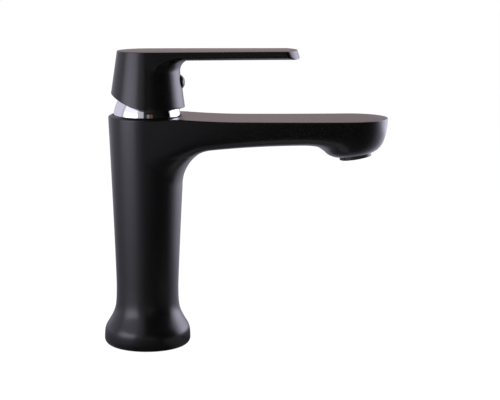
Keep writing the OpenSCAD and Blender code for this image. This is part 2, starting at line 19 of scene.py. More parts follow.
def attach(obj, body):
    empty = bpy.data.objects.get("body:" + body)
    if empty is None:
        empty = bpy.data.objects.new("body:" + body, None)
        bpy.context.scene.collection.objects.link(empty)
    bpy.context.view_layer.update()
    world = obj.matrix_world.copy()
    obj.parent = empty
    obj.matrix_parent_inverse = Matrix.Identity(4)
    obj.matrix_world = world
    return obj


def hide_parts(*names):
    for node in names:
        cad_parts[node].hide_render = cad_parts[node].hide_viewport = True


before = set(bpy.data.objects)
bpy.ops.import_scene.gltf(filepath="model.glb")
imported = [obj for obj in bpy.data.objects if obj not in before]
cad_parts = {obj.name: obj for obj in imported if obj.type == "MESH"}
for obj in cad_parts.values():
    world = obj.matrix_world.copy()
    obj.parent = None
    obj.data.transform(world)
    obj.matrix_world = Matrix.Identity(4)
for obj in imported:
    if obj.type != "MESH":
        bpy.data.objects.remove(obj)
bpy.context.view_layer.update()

MM = 0.001
LOG = logging.getLogger("mixer")

Colour = Tuple[float, float, float]
Value = Union["Socket", float]
Field = Callable[[np.ndarray], np.ndarray]
Glow = Tuple[Tuple[float, Colour, float], ...]


# ------------------------------------------------------------------ shader maths


class Socket:
    """An output socket of a node, with Python's operators for its Math nodes."""

    def __init__(self, graph: "Graph", link: bpy.types.NodeSocket) -> None:
        """Keeps the graph and the socket."""
        self.graph = graph
        self.link = link

    def maths(self, operation: str, first: Value, second: Value = 0.0) -> "Socket":
        """Adds a Math node.

        Args:
            operation: the Math node's operation.
            first: its first value.
            second: its second value.

        Returns:
            The node's result.
        """
        return self.graph.node(
            "ShaderNodeMath", {"operation": operation}, {0: first, 1: second}
        )

    def __add__(self, other: Value) -> "Socket":
        """self + other"""
        return self.maths("ADD", self, other)

    def __radd__(self, other: Value) -> "Socket":
        """other + self"""
        return self.maths("ADD", other, self)

    def __sub__(self, other: Value) -> "Socket":
        """self - other"""
        return self.maths("SUBTRACT", self, other)

    def __rsub__(self, other: Value) -> "Socket":
        """other - self"""
        return self.maths("SUBTRACT", other, self)

    def __mul__(self, other: Value) -> "Socket":
        """self * other"""
        return self.maths("MULTIPLY", self, other)

    def __rmul__(self, other: Value) -> "Socket":
        """other * self"""
        return self.maths("MULTIPLY", other, self)

    def __truediv__(self, other: Value) -> "Socket":
        """self / other"""
        return self.maths("DIVIDE", self, other)

    def __rtruediv__(self, other: Value) -> "Socket":
        """other / self"""
        return self.maths("DIVIDE", other, self)

    def __pow__(self, other: Value) -> "Socket":
        """self ** other"""
        return self.maths("POWER", self, other)

    def clipped(self) -> "Socket":
        """The value held between 0 and 1."""
        return self.maths("MINIMUM", self.maths("MAXIMUM", self, 0.0), 1.0)


class Graph:
    """The node tree of a material or the world."""

    def __init__(self, tree: bpy.types.NodeTree) -> None:
        """Empties the tree and starts a new one."""
        self.tree = tree
        self.tree.nodes.clear()
        self.count = 0

    def raw(
        self, kind: str, settings: Dict[str, object], values: Dict[Union[str, int], object]
    ) -> bpy.types.Node:
        """Adds any node, with its settings first and its sockets after them.

        Args:
            kind: the node's type.
            settings: its properties, such as operation; "stops" fills a colour ramp.
            values: a number, a colour or a Socket for each named or numbered input.

        Returns:
            The new node.
        """
        node = self.tree.nodes.new(kind)
        node.location = (220 * (self.count % 8), -260 * (self.count // 8))
        self.count += 1
        for name, value in settings.items():
            if name == "stops":
                self.fill_ramp(node, value)
            else:
                setattr(node, name, value)
        for name, value in values.items():
            socket = node.inputs[name]
            if isinstance(value, Socket):
                self.tree.links.new(value.link, socket)
            else:
                socket.default_value = value
        return node

    @staticmethod
    def fill_ramp(node: bpy.types.Node, stops: Sequence[Tuple[float, Colour]]) -> None:
        """Sets a colour ramp's stops, given as positions with their colours."""
        ramp = node.color_ramp
        while len(ramp.elements) < len(stops):
            ramp.elements.new(1.0)
        for element, (place, colour) in zip(ramp.elements, stops):
            element.position = place
            element.color = (*colour, 1.0)

    def node(
        self,
        kind: str,
        settings: Dict[str, object],
        values: Dict[Union[str, int], object],
        output: Union[str, int] = 0,
    ) -> Socket:
        """Adds a node and returns one of its outputs as a Socket."""
        return Socket(self, self.raw(kind, settings, values).outputs[output])

    def close(self, shader: bpy.types.Node, kind: str = "Material") -> None:
        """Joins a shader to the output of a material or of the world."""
        output = self.raw(f"ShaderNodeOutput{kind}", {}, {})
        self.tree.links.new(shader.outputs[0], output.inputs[0])

    def place(self) -> Socket:
        """Coordinates that move with the piece."""
        return self.node("ShaderNodeTexCoord", {}, {}, "Object")

    def scaled(self, place: Socket, scale: Tuple[float, float, float]) -> Socket:
        """Coordinates multiplied axis by axis."""
        return self.node(
            "ShaderNodeVectorMath", {"operation": "MULTIPLY"}, {0: place, 1: scale}
        )

    def noise(self, place: Socket, cells_per_mm: float, detail: float = 2.0) -> Socket:
        """Noise between 0 and 1 whose cells have a real size."""
        return self.node(
            "ShaderNodeTexNoise",
            {},
            {"Vector": place, "Scale": cells_per_mm / MM, "Detail": detail},
            0,
        )

    def blend(self, factor: Value, first: Colour, second: Colour) -> Socket:
        """A colour between two colours."""
        return self.node(
            "ShaderNodeMix",
            {"data_type": "RGBA"},
            {0: factor, 6: (*first, 1.0), 7: (*second, 1.0)},
            2,
        )

    def bump(self, height: Socket, depth_mm: float, strength: float = 1.0) -> Socket:
        """A normal bent by a height of a real depth."""
        return self.node(
            "ShaderNodeBump",
            {},
            {"Height": height, "Distance": depth_mm * MM, "Strength": strength},
        )


def new_material(name: str) -> Tuple[bpy.types.Material, Graph]:
    """An empty material and its graph."""
    made = bpy.data.materials.new(name)
    made.use_nodes = True
    return made, Graph(made.node_tree)


class Grain(Enum):
    """The fine texture of a finish."""

    PEEL = "the soft waves of a sprayed or plated coat"
    POLISH = "hairline scratches in a polished surface"
    TURNED = "the rings a lathe leaves"
    MOULD = "the fine texture of a moulding tool"
    SPECKLE = "the grains of a fired ceramic"
    WEAVE = "crossing wires"


@dataclass(frozen=True)
class Finish:
    """A surface finish and how it becomes a material.

    Attributes:
        name: the material's name.
        slot: the record's material slot that it belongs to; not used.
        colour: base colour, linear.
        shade: the colour that the base drifts to.
        metallic: 1 for bare metal.
        roughness: mean roughness.
        drift: how much the roughness varies.
        grain: the fine texture.
        grain_mm: size of the fine texture.
        depth_mm: depth of the fine texture.
        coat: strength of the clear coat.
        coat_roughness: its roughness.
        ior: index of refraction.
    """

    name: str
    slot: str
    colour: Colour
    shade: Colour
    metallic: float = 0.0
    roughness: float = 0.4
    drift: float = 0.05
    grain: Grain = Grain.MOULD
    grain_mm: float = 0.3
    depth_mm: float = 0.01
    coat: float = 0.0
    coat_roughness: float = 0.1
    ior: float = 1.5

    def height(self, graph: Graph, place: Socket) -> Socket:
        """The height map of the fine texture."""
        cells = 1.0 / self.grain_mm
        if self.grain is Grain.PEEL:
            waves = graph.noise(place, 0.35 * cells, 1.0)
            fine = graph.noise(place, 4.0 * cells, 2.0)
            return waves * 0.8 + fine * 0.2
        if self.grain is Grain.POLISH:
            along = graph.scaled(place, (0.08, 1.0, 1.0))
            across = graph.scaled(place, (1.0, 0.08, 1.0))
            return graph.noise(along, cells, 3.0) * 0.5 + graph.noise(across, cells, 3.0) * 0.5
        if self.grain is Grain.TURNED:
            rings = graph.node(
                "ShaderNodeTexWave",
                {"wave_type": "RINGS", "rings_direction": "Z"},
                {"Vector": place, "Scale": 0.5 * cells / MM / math.pi, "Distortion": 0.4},
                1,
            )
            return rings
        if self.grain is Grain.WEAVE:
            warp, weft = (
                graph.node(
                    "ShaderNodeTexWave",
                    {"wave_type": "BANDS", "bands_direction": direction},
                    {"Vector": place, "Scale": 0.5 * cells / MM / math.pi},
                    1,
                )
                for direction in ("X", "Y")
            )
            return warp.maths("MAXIMUM", warp, weft)
        if self.grain is Grain.SPECKLE:
            return graph.noise(place, cells, 6.0) ** 2.0
        return graph.noise(place, cells, 4.0)

    def material(self) -> bpy.types.Material:
        """The finish as a material, made once and then shared.

        Returns:
            A material whose colour, roughness and normal vary over the surface.
        """
        known = bpy.data.materials.get(self.name)
        if known is not None:
            return known
        made, graph = new_material(self.name)
        place = graph.place()
        broad = graph.noise(place, 0.06, 3.0)
        height = self.height(graph, place)
        uneven = (broad * 0.7 + height * 0.3).clipped()
        shader = graph.raw(
            "ShaderNodeBsdfPrincipled",
            {},
            {
                "Base Color": graph.blend(uneven, self.colour, self.shade),
                "Roughness": (uneven - 0.5) * (2.0 * self.drift) + self.roughness,
                "Metallic": self.metallic,
                "IOR": self.ior,
                "Coat Weight": self.coat,
                "Coat Roughness": self.coat_roughness,
                "Normal": graph.bump(height, self.depth_mm),
            },
        )
        graph.close(shader)
        return made


SATIN_BLACK = Finish(
    "satin_black_coat", "satin_black", (0.0013, 0.0013, 0.0014), (0.0019, 0.0019, 0.002),
    roughness=0.26, drift=0.02, grain=Grain.PEEL, grain_mm=0.5, depth_mm=0.0004,
)
BRIGHT_CHROME = Finish(
    "bright_chrome", "chrome", (0.83, 0.83, 0.86), (0.78, 0.78, 0.8),
    metallic=1.0, roughness=0.05, drift=0.02, grain=Grain.POLISH, grain_mm=0.12, depth_mm=0.0003,
)
GLOSS_PLUG = Finish(
    "gloss_black_plug", "gloss_black", (0.004, 0.004, 0.0045), (0.007, 0.007, 0.0075),
    roughness=0.1, drift=0.03, grain=Grain.PEEL, grain_mm=0.3, depth_mm=0.0006,
)
RING_PLASTIC = Finish(
    "black_ring_plastic", "black_plastic", (0.009, 0.009, 0.01), (0.014, 0.014, 0.015),
    roughness=0.34, drift=0.06, grain_mm=0.12, depth_mm=0.003,
)
TURNED_BRASS = Finish(
    "turned_brass", "brass", (0.58, 0.37, 0.13), (0.5, 0.3, 0.09),
    metallic=1.0, roughness=0.3, drift=0.08, grain=Grain.TURNED, grain_mm=0.2, depth_mm=0.004,
)
WHITE_PLASTIC = Finish(
    "white_cartridge_plastic", "white_plastic", (0.72, 0.72, 0.69), (0.66, 0.66, 0.62),
    roughness=0.45, drift=0.08, grain_mm=0.2, depth_mm=0.004,
)
BLUE_PLASTIC = Finish(
    "blue_carrier_plastic", "blue_plastic", (0.03, 0.09, 0.24), (0.024, 0.075, 0.2),
    roughness=0.4, drift=0.08, grain_mm=0.2, depth_mm=0.004,
)
LAPPED_CERAMIC = Finish(
    "lapped_ceramic", "ceramic", (0.74, 0.71, 0.63), (0.66, 0.63, 0.55),
    roughness=0.16, drift=0.05, grain=Grain.SPECKLE, grain_mm=0.15, depth_mm=0.0008,
)
BLACK_RUBBER = Finish(
    "black_rubber", "rubber", (0.014, 0.014, 0.014), (0.022, 0.022, 0.021),
    roughness=0.75, drift=0.1, grain_mm=0.15, depth_mm=0.01,
)
TURNED_STEEL = Finish(
    "turned_steel", "steel", (0.5, 0.5, 0.52), (0.42, 0.42, 0.44),
    metallic=1.0, roughness=0.28, drift=0.08, grain=Grain.TURNED, grain_mm=0.15, depth_mm=0.003,
)
WIRE_MESH = Finish(
    "woven_steel_mesh", "steel", (0.45, 0.45, 0.47), (0.2, 0.2, 0.21),
    metallic=1.0, roughness=0.4, drift=0.1, grain=Grain.WEAVE, grain_mm=0.5, depth_mm=0.15,
)

NODE_FINISHES: Dict[str, Finish] = {
    "base_gasket": BLACK_RUBBER,
    "aerator_screen": WIRE_MESH,
    "aerator_washer": BLACK_RUBBER,
    "cartridge_base": WHITE_PLASTIC,
    "inlet_seals": BLACK_RUBBER,
    "chamber_seal": BLACK_RUBBER,
    "disc_gasket": BLACK_RUBBER,
    "fixed_disc": LAPPED_CERAMIC,
    "cartridge_housing": WHITE_PLASTIC,
    "cartridge_nut": TURNED_BRASS,
    "moving_disc": LAPPED_CERAMIC,
    "disc_carrier": BLUE_PLASTIC,
    "stem_carrier": WHITE_PLASTIC,
    "pivot_pin": TURNED_STEEL,
    "stem": TURNED_STEEL,
    "set_screw": TURNED_STEEL,
}


# ------------------------------------------------------------------ solid forms


def lerp(a: np.ndarray, b: np.ndarray, t: np.ndarray) -> np.ndarray:
    """The value between a and b."""
    return a + (b - a) * t


def ease(t: np.ndarray) -> np.ndarray:
    """A smooth step from 0 to 1."""
    c = np.clip(t, 0.0, 1.0)
    return c * c * (3.0 - 2.0 * c)


def smooth_max(a: np.ndarray, b: np.ndarray, size: float) -> np.ndarray:
    """The larger value, with the change between the two rounded over size."""
    h = np.clip(size - np.abs(a - b), 0.0, None) / size
    return np.maximum(a, b) + h * h * size / 4.0


def smooth_min(a: np.ndarray, b: np.ndarray, size: float) -> np.ndarray:
    """The smaller value, with the change between the two rounded over size."""
    return -smooth_max(-a, -b, size)


def fillet_union(a: np.ndarray, b: np.ndarray, radius: float) -> np.ndarray:
    """The union of two distance fields, with a round fillet in their corner."""
    u = np.clip(radius - a, 0.0, None)
    v = np.clip(radius - b, 0.0, None)
    return np.maximum(radius, np.minimum(a, b)) - np.hypot(u, v)


def mesh_piece(
    name: str,
    verts: Sequence[Sequence[float]],
    faces: Sequence[Sequence[int]],
    sharp: float = 35.0,
) -> bpy.types.Object:
    """A mesh object from points in millimetres.

    Args:
        name: the piece's name.
        verts: its points.
        faces: its faces.
        sharp: edges that turn by more than this many degrees stay sharp.

    Returns:
        The linked object.
    """
    mesh = bpy.data.meshes.new(name)
    mesh.from_pydata([[c * MM for c in v] for v in verts], [], faces)
    work = bmesh.new()
    work.from_mesh(mesh)
    bmesh.ops.remove_doubles(work, verts=work.verts, dist=1e-7)
    bmesh.ops.dissolve_degenerate(work, edges=work.edges, dist=1e-8)
    bmesh.ops.recalc_face_normals(work, faces=work.faces)
    work.to_mesh(mesh)
    work.free()
    piece = bpy.data.objects.new(name, mesh)
    bpy.context.scene.collection.objects.link(piece)
    smooth(piece, sharp)
    return piece


def smooth(piece: bpy.types.Object, sharp: float = 35.0) -> None:
    """Shades a piece smooth, apart from edges that turn by more than sharp degrees."""
    piece.data.polygons.foreach_set("use_smooth", [True] * len(piece.data.polygons))
    piece.data.set_sharp_from_angle(angle=math.radians(sharp))


def rings_mesh(
    rings: np.ndarray, closed: Tuple[bool, bool] = (True, True)
) -> Tuple[List[List[float]], List[List[int]]]:
    """Quads between rings of equal length.

    Args:
        rings: points as an array of rings by points by three.
        closed: whether the first and the last ring get a face.

    Returns:
        Points and faces.
    """
    count, size = rings.shape[:2]
    faces = []
    for k in range(count - 1):
        low, high = k * size, (k + 1) * size
        for i in range(size):
            j = (i + 1) % size
            faces.append([low + i, low + j, high + j, high + i])
    if closed[0]:
        faces.append(list(range(size))[::-1])
    if closed[1]:
        faces.append([(count - 1) * size + i for i in range(size)])
    return rings.reshape(-1, 3).tolist(), faces


def lathe(
    name: str, profile: Sequence[Tuple[float, float]], steps: int = 96, sharp: float = 35.0
) -> bpy.types.Object:
    """A closed profile of radius and height turned about the Z axis."""
    angles = np.linspace(0.0, 2.0 * math.pi, steps, endpoint=False)
    size = len(profile)
    verts = [
        (r * math.cos(a), r * math.sin(a), z) for a in angles for r, z in profile
    ]
    faces = [
        [i * size + j, ((i + 1) % steps) * size + j,
         ((i + 1) % steps) * size + (j + 1) % size, i * size + (j + 1) % size]
        for i in range(steps)
        for j in range(size)
    ]
    return mesh_piece(name, verts, faces, sharp)


def arc(
    centre: Tuple[float, float], radius: float, start: float, end: float, steps: int
) -> List[Tuple[float, float]]:
    """Points on an arc, from one angle to another in degrees."""
    return [
        (
            centre[0] + radius * math.cos(math.radians(lerp(start, end, k / steps))),
            centre[1] + radius * math.sin(math.radians(lerp(start, end, k / steps))),
        )
        for k in range(steps + 1)
    ]


def shape(
    piece: bpy.types.Object,
    added: Sequence[bpy.types.Object] = (),
    taken: Sequence[bpy.types.Object] = (),
    sharp: float = 35.0,
) -> None:
    """Adds solids to a piece, then takes others away from it.

    Args:
        piece: the closed mesh to work on.
        added: the solids to add, each closed.
        taken: the solids to take away, each closed.
        sharp: edges that turn by more than this many degrees stay sharp.
    """
    for tool in (*added, *taken):
        step = piece.modifiers.new("step", "BOOLEAN")
        step.operation = "UNION" if tool in added else "DIFFERENCE"
        step.solver = "EXACT"
        step.object = tool
    graph = bpy.context.evaluated_depsgraph_get()
    graph.update()
    mesh = bpy.data.meshes.new_from_object(piece.evaluated_get(graph))
    piece.modifiers.clear()
    piece.data = mesh
    for tool in (*added, *taken):
        bpy.data.objects.remove(tool)
    smooth(piece, sharp)


def block(
    name: str, low: Sequence[float], high: Sequence[float], place: Matrix = Matrix.Identity(4)
) -> bpy.types.Object:
    """A square-edged tool between two corners, for shaping a piece."""
    (x0, y0, z0), (x1, y1, z1) = low, high
    rings = np.array([[(x0, y0, z), (x1, y0, z), (x1, y1, z), (x0, y1, z)] for z in (z0, z1)])
    tool = mesh_piece(name, *rings_mesh(rings))
    tool.matrix_world = place
    return tool


def rod(
    name: str, radius: float, low: float, high: float, at: Tuple[float, float] = (0.0, 0.0),
    steps: int = 48, place: Matrix = Matrix.Identity(4),
) -> bpy.types.Object:
    """A plain round tool along Z, from one height to another, for shaping a piece."""
    rings = np.array([
        [
            (at[0] + radius * math.cos(a), at[1] + radius * math.sin(a), z)
            for a in np.linspace(0.0, 2.0 * math.pi, steps, endpoint=False)
        ]
        for z in (low, high)
    ])
    tool = mesh_piece(name, *rings_mesh(rings))
    tool.matrix_world = place
    return tool


@dataclass
class Rays:
    """Curves that climb over a solid's skin, one in each upright half-plane of an axis.

    Attributes:
        field: the solid's distance field, negative inside, for points in millimetres.
        angles: the half-planes' directions about +Z, in radians.
        top: the height at which each curve ends.
        step: distance between the points that are traced.
    """

    field: Field
    angles: np.ndarray
    top: np.ndarray
    step: float = 0.4

    def points(self, radius: np.ndarray, height: np.ndarray) -> np.ndarray:
        """Points at a radius and a height in each half-plane."""
        return np.stack(
            [radius * np.cos(self.angles), radius * np.sin(self.angles), height], axis=-1
        )

    def slope(self, radius: np.ndarray, height: np.ndarray) -> Tuple[np.ndarray, ...]:
        """The field and its two slopes in each half-plane."""
        e = 0.02
        here, more, less, above, below = (
            self.field(self.points(radius + dr, height + dz))
            for dr, dz in ((0, 0), (e, 0), (-e, 0), (0, e), (0, -e))
        )
        return here, (more - less) / (2 * e), (above - below) / (2 * e)

    def trace(self, radius: np.ndarray, height: float, limit: int = 1400) -> List[np.ndarray]:
        """Follows the skin upwards and outwards from a start.

        Args:
            radius: where each curve starts.
            height: the height at which they start.
            limit: most steps.

        Returns:
            For each half-plane, its points as radius and height, ending at the top.
        """
        r, z = radius.copy(), np.full_like(radius, height)
        done = np.zeros(len(r), bool)
        tracks = [[(r[i], z[i])] for i in range(len(r))]
        for _ in range(limit):
            _, gr, gz = self.slope(r, z)
            size = np.hypot(gr, gz)
            nr, nz = r - self.step * gz / size, z + self.step * gr / size
            for _ in range(2):
                g, gr, gz = self.slope(nr, nz)
                square = gr * gr + gz * gz
                nr, nz = nr - g * gr / square, nz - g * gz / square
            for i in np.nonzero(~done)[0]:
                if nz[i] >= self.top[i] and nz[i] > z[i]:
                    t = (self.top[i] - z[i]) / (nz[i] - z[i])
                    tracks[i].append((r[i] + t * (nr[i] - r[i]), self.top[i]))
                    done[i] = True
                else:
                    tracks[i].append((nr[i], nz[i]))
            r, z = np.where(done, r, nr), np.where(done, z, nz)
            if done.all():
                break
        return [np.array(track) for track in tracks]

    def rings(self, radius: np.ndarray, height: float, count: int) -> np.ndarray:
        """The traced skin as rings of points, evenly spread along each curve."""
        lines = []
        for track in self.trace(radius, height):
            steps = np.hypot(*np.diff(track, axis=0).T)
            length = np.concatenate([[0.0], np.cumsum(steps)])
            even = np.linspace(0.0, length[-1], count)
            lines.append(
                np.stack([np.interp(even, length, track[:, k]) for k in (0, 1)], axis=-1)
            )
        grid = np.array(lines)
        return np.array([self.points(grid[:, k, 0], grid[:, k, 1]) for k in range(count)])


def plain_rings(angles: np.ndarray, profile: Sequence[Tuple[float, float]]) -> np.ndarray:
    """Round rings of radius and height at the given angles."""
    return np.array([
        np.stack([r * np.cos(angles), r * np.sin(angles), np.full_like(angles, z)], axis=-1)
        for r, z in profile
    ])


def rim_rings(edge: np.ndarray, radius: np.ndarray, steps: int = 5) -> np.ndarray:
    """Rings that round an upright wall over into a flat top.

    Args:
        edge: the wall's last ring.
        radius: the size of the rounding at each of its points.
        steps: number of rings.

    Returns:
        The rings after the wall's last one, the last of them on the flat top.
    """
    ahead, behind = np.roll(edge, -1, axis=0), np.roll(edge, 1, axis=0)
    run = ahead[:, :2] - behind[:, :2]
    out = np.stack([run[:, 1], -run[:, 0]], axis=-1)
    out /= np.linalg.norm(out, axis=1, keepdims=True)
    rings = []
    for k in range(1, steps + 1):
        a = 0.5 * math.pi * k / steps
        ring = edge.copy()
        ring[:, :2] -= out * radius[:, None] * (1.0 - math.cos(a))
        ring[:, 2] += radius * math.sin(a)
        rings.append(ring)
    return np.array(rings)


def outline_angles(outline: Callable[[float], float], pitch: float) -> np.ndarray:
    """Directions whose outline points lie an even distance apart.

    Args:
        outline: the outline's distance from the axis in a direction.
        pitch: the distance between points.

    Returns:
        The directions, anticlockwise from straight behind.
    """
    fine = np.linspace(-math.pi, math.pi, 7201)
    reach = np.array([outline(a) for a in fine])
    points = np.stack([reach * np.cos(fine), reach * np.sin(fine)], axis=-1)
    length = np.concatenate([[0.0], np.cumsum(np.hypot(*np.diff(points, axis=0).T))])
    count = 2 * int(round(length[-1] / pitch / 2))
    return np.interp(np.linspace(0.0, length[-1], count, endpoint=False), length, fine)


# ------------------------------------------------------------------ sub-assemblies


@dataclass
class Casting:
    """The body: a flared foot, a waisted column and a wide spout with a bowl-shaped end."""

    height: float = 133.4
    waist_r: float = 18.0
    waist_z: float = 34.0
    top_r: float = 22.3
    widening: float = 1.15
    foot_r: float = 25.1
    foot_round: float = 3.6
    flare_z: float = 15.3
    flare_len: float = 3.2
    shoulder: float = 2.3
    shoulder_drop: float = 7.0
    shoulder_fade: float = 9.0
    reach: float = 116.0
    end_r: float = 22.7
    draw: float = 0.5
    tip_t: float = 14.3
    root_drop: float = 8.0
    drop_run: float = 100.0
    edge_round: float = 7.0
    root_fillet: float = 18.5
    rim: float = 0.6
    edge_rise: float = 0.05
    collar: float = 1.3
    root_rise: float = 1.4
    root_x: float = 17.0
    root_run: float = 37.0
    dip: float = 0.35
    tip_rise: float = 1.0
    tip_rise_from: float = 45.0
    tip_rise_run: float = 89.0
    bowl_depth: float = 21.4
    bowl_power: float = 0.2
    bowl_fillet: float = 6.0
    tilt: float = 10.0
    recess_r: float = 19.7
    recess_z: float = 128.4
    trace_from: float = 86.0
    hollow_r: float = 14.8
    hollow_z: float = 58.0
    groove: Tuple[float, float, float] = (17.6, 20.6, 2.4)
    nut_seat: Tuple[float, float] = (18.6, 122.4)
    chamber: Tuple[float, float] = (17.55, 104.98)
    supply: Tuple[float, float] = (3.0, 106.0)
    hose: Tuple[float, float, float, float] = (5.0, 12.0, 3.5, 7.3)
    stud: Tuple[float, float, float] = (4.0, 14.0, -8.6)
    aerator_r: float = 9.25
    aerator_low: float = -23.0
    aerator_top: float = -14.5

    def flare(self, z: np.ndarray) -> np.ndarray:
        """The foot's widening at a height, between 0 and 1, with a firmer shoulder below."""
        share = ease((z - self.flare_z + self.shoulder_drop) / self.shoulder_fade)
        length = lerp(self.shoulder, self.flare_len, share)
        return 1.0 / (1.0 + np.exp((z - self.flare_z) / length))

    def column(self, z: np.ndarray) -> np.ndarray:
        """The column's radius at a height."""
        grow = (self.foot_r - self.waist_r) / self.flare(np.array(self.foot_round))
        up = np.clip((z - self.waist_z) / (self.height - self.waist_z), 0.0, None)
        return (
            self.waist_r
            + (self.top_r - self.waist_r) * up**self.widening
            + grow * self.flare(z)
        )

    def bowl_radius(self, depth: np.ndarray) -> np.ndarray:
        """The bowl's radius at a depth under the flat top, along the jet."""
        return self.end_r * np.clip(1.0 - depth / self.bowl_depth, 1e-4, 1.2) ** self.bowl_power

    def field(self, p: np.ndarray) -> np.ndarray:
        """How far points lie outside the casting, in millimetres."""
        x, y, z = p[..., 0], p[..., 1], p[..., 2]
        column = np.hypot(x, y) - self.column(z)
        t = np.clip(x / self.reach, 0.0, 1.0)
        side_r = lerp(self.column(z), self.bowl_radius(self.height - z), ease(t))
        side_r = side_r - self.draw * np.sin(math.pi * t) ** 2
        beyond = np.clip(x - self.reach, 0.0, None) * 1.06
        side = np.hypot(beyond, y) - side_r
        side = np.where(x < 0.0, column, side)
        under = (
            self.height - self.tip_t
            - self.root_drop * np.clip(1.0 - np.clip(x, 0.0, None) / self.drop_run, 0.0, 1.0) ** 2
            - z
        )
        c, s = math.cos(math.radians(self.tilt)), math.sin(math.radians(self.tilt))
        dx, dz = x - self.reach, z - self.height
        jet_x, jet_z = dx * c + dz * s, dz * c - dx * s
        r = np.hypot(jet_x, y) / self.end_r
        power = 1.0 / self.bowl_power
        wall = -self.bowl_depth * (1.0 - r**power) - jet_z
        steep = power * self.bowl_depth / self.end_r * r ** (power - 1.0)
        bowl = wall / np.sqrt(1.0 + steep**2)
        lower = fillet_union(column, under, self.root_fillet)
        lower = fillet_union(lower, bowl, self.bowl_fillet)
        spout = smooth_max(lower, side, self.edge_round)
        return smooth_min(np.minimum(column, spout), bowl, 0.6)

    def rise(self, x: np.ndarray, y: np.ndarray) -> np.ndarray:
        """How far the top stands above its level plane.

        It has a rounded collar about the dome, and the spout's top runs up to that collar.
        """
        over = np.clip(1.0 - (x - self.root_x) / self.root_run, 0.0, 1.0)
        along = np.clip((x - self.tip_rise_from) / self.tip_rise_run, 0.0, None)
        tip = self.tip_rise * along**1.7
        spout = self.root_rise * over**2 - self.dip + tip
        spout = lerp(self.edge_rise, spout, ease((x - 6.0) / 16.0))
        out = np.clip((np.hypot(x, y) - self.recess_r) / (self.top_r - self.recess_r), 0.0, None)
        collar = self.collar - (self.collar - self.edge_rise) * out**1.7
        return smooth_max(spout, collar, 0.4)

    def lifted(self, rings: np.ndarray) -> np.ndarray:
        """Rings whose upper points follow the top's rise."""
        share = ease((rings[..., 2] - self.height + 8.0) / 8.0)
        moved = rings.copy()
        moved[..., 2] += share * self.rise(rings[..., 0], rings[..., 1])
        return moved

    def outline(self, angle: float) -> float:
        """The flat top's distance from the axis in a direction."""
        if abs(angle) >= 0.5 * math.pi:
            return self.top_r
        c, s = math.cos(angle), abs(math.sin(angle))
        side = self.top_r / max(s, 1e-6)
        if side * c <= self.reach:
            return side
        root = self.end_r**2 - (self.reach * s) ** 2
        return self.reach * c + math.sqrt(max(root, 0.0))

    def shell(self) -> bpy.types.Object:
        """The casting's skin, with the recess, the chamber and the foot's hollow.

        Returns:
            A closed mesh.
        """
        angles = outline_angles(self.outline, 1.5)
        round_r = np.full_like(angles, self.rim)
        rays = Rays(self.field, angles, self.height - round_r)
        start = np.full_like(angles, float(self.column(np.array(self.trace_from))))
        head = rays.rings(start, self.trace_from, 170)
        groove_in, groove_out, groove_h = self.groove
        foot = [(0.02, self.hollow_z), (self.hollow_r - 0.5, self.hollow_z)]
        foot += [(self.hollow_r, self.hollow_z - 0.5), (self.hollow_r, 0.6)]
        foot += [(self.hollow_r + 0.6, 0.0)]
        foot += [(groove_in, 0.0), (groove_in, groove_h), (groove_out, groove_h), (groove_out, 0.0)]
        foot += arc((self.foot_r - self.foot_round, self.foot_round), self.foot_round, -90, 0, 8)
        heights = np.concatenate([
            np.arange(self.foot_round + 0.8, self.waist_z, 0.8),
            np.linspace(self.waist_z, self.trace_from, 22)[:-1],
        ])
        foot += [(float(self.column(h)), float(h)) for h in heights]
        rim = rim_rings(head[-1], round_r)
        bevel = 0.35
        lip = plain_rings(angles, [
            (self.recess_r + bevel, self.height), (self.recess_r, self.height - bevel),
        ])
        across = 1.0 - np.linspace(1.0, 0.0, 26)[1:-1] ** 2
        flat = np.array([lerp(rim[-1], lip[0], t) for t in across])
        (seat_r, seat_z), (chamber_r, chamber_z) = self.nut_seat, self.chamber
        inside = [
            (self.recess_r, self.recess_z), (seat_r, self.recess_z), (seat_r, seat_z),
            (chamber_r, seat_z), (chamber_r, chamber_z), (0.02, chamber_z),
        ]
        top = self.lifted(np.concatenate([head, rim, flat, lip]))
        rings = np.concatenate([plain_rings(angles, foot), top, plain_rings(angles, inside)])
        return mesh_piece("body_casting", *rings_mesh(rings))

    def cutters(self) -> List[bpy.types.Object]:
        """The bores in the hollow's roof and the aerator's seat."""
        hose_r, hose_l, hose_x, hose_y = self.hose
        supply_r, supply_top = self.supply
        roof = self.hollow_z
        tools = [
            rod(name, r, low, high, (hose_x, side * hose_y))
            for name, r, low, high in (
                ("hose_bore", hose_r, roof - 1, roof + hose_l),
                ("supply_bore", supply_r, roof + hose_l - 1, supply_top),
            )
            for side in (-1, 1)
        ]
        stud_r, stud_l, stud_x = self.stud
        tools.append(rod("stud_bore", stud_r, roof - 1, roof + stud_l, (stud_x, 0.0)))
        tools.append(rod(
            "seat_bore", self.aerator_r + 0.12, self.aerator_low - 1, self.aerator_top,
            steps=96, place=jet_frame(self),
        ))
        return tools

    def build(self) -> bpy.types.Object:
        """Makes the casting, dresses it and lets it stand for its CAD node."""
        piece = self.shell()
        shape(piece, taken=self.cutters())
        return dress(piece, SATIN_BLACK, "root", "body")


def jet_frame(casting: Casting) -> Matrix:
    """The frame of the water jet: on the flat top, with Z up along the jet."""
    place = Matrix.Translation(Vector((casting.reach, 0.0, casting.height)) * MM)
    return place @ Matrix.Rotation(math.radians(-casting.tilt), 4, "Y")


def dress(
    piece: bpy.types.Object, finish: Finish, body: str, *nodes: str
) -> bpy.types.Object:
    """Gives a piece its finish, its body and the CAD nodes that it stands for."""
    piece.data.materials.clear()
    piece.data.materials.append(finish.material())
    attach(piece, body)
    if nodes:
        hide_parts(*nodes)
    LOG.info("piece %s on %s: %d faces", piece.name, body, len(piece.data.polygons))
    return piece


